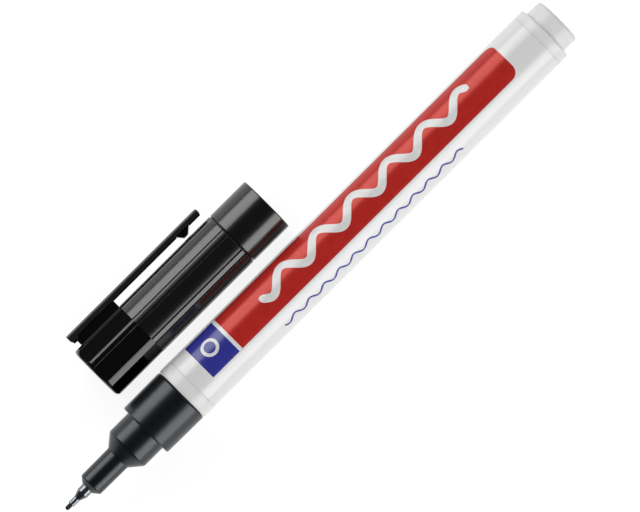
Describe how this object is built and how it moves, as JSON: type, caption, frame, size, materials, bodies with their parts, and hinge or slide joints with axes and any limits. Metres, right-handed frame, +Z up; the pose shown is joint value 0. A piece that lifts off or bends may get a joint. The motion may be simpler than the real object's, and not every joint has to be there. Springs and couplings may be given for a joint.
{
  "type": "permanent marker",
  "caption": "Slim permanent marker with a fine fibre nib in a metal point holder, a white labelled barrel and a fluted clip cap lying taken off beside it.",
  "frame": {"origin": "under the middle of the whole object's box, on the surface that the pen and its cap lie on", "axes": "+X along the pen from its nib to its rear end, +Y towards the cap and its clip, +Z up"},
  "size_m": [0.12, 0.0266, 0.011],
  "materials": {
    "nib_fibre": "ink-stained fibre, matt",
    "ferrule_metal": "drawn, smooth",
    "nose_black": "satin moulded black",
    "barrel_translucent": "natural translucent, satin",
    "label_white": "smooth printed film",
    "plug_translucent": "natural translucent, satin",
    "reservoir_fibre": "ink-soaked fibre",
    "reservoir_film": "clear film",
    "cap_black": "satin gloss moulded black",
    "crown_gloss_black": "polished moulded black",
    "seal_dark": "soft seal plastic"
  },
  "bodies": {
    "pen": {"nib": "nib_fibre", "nib_ferrule": "ferrule_metal", "nose_section": "nose_black", "barrel": "barrel_translucent", "barrel_label": "label_white", "end_plug": "plug_translucent", "reservoir_fibre": "reservoir_fibre", "reservoir_film": "reservoir_film"},
    "cap": {"cap_sleeve": "cap_black", "cap_crown": "crown_gloss_black", "inner_seal_cup": "seal_dark"},
    "clip": {"clip_arm": "crown_gloss_black"}
  },
  "joints": [
    {"name": "cap_slide", "type": "slide", "parent": "pen", "child": "cap", "axis": [-1, 0, 0], "range_m": [0, 0.065]},
    {"name": "clip_flex", "type": "hinge", "parent": "cap", "child": "clip", "pos_m": [-0.02879, 0.01324, 0.0049], "axis": [0, 0.0663, 0.9978], "range_deg": [0, 5], "stiffness_Nm_per_rad": 0.02}
  ]
}
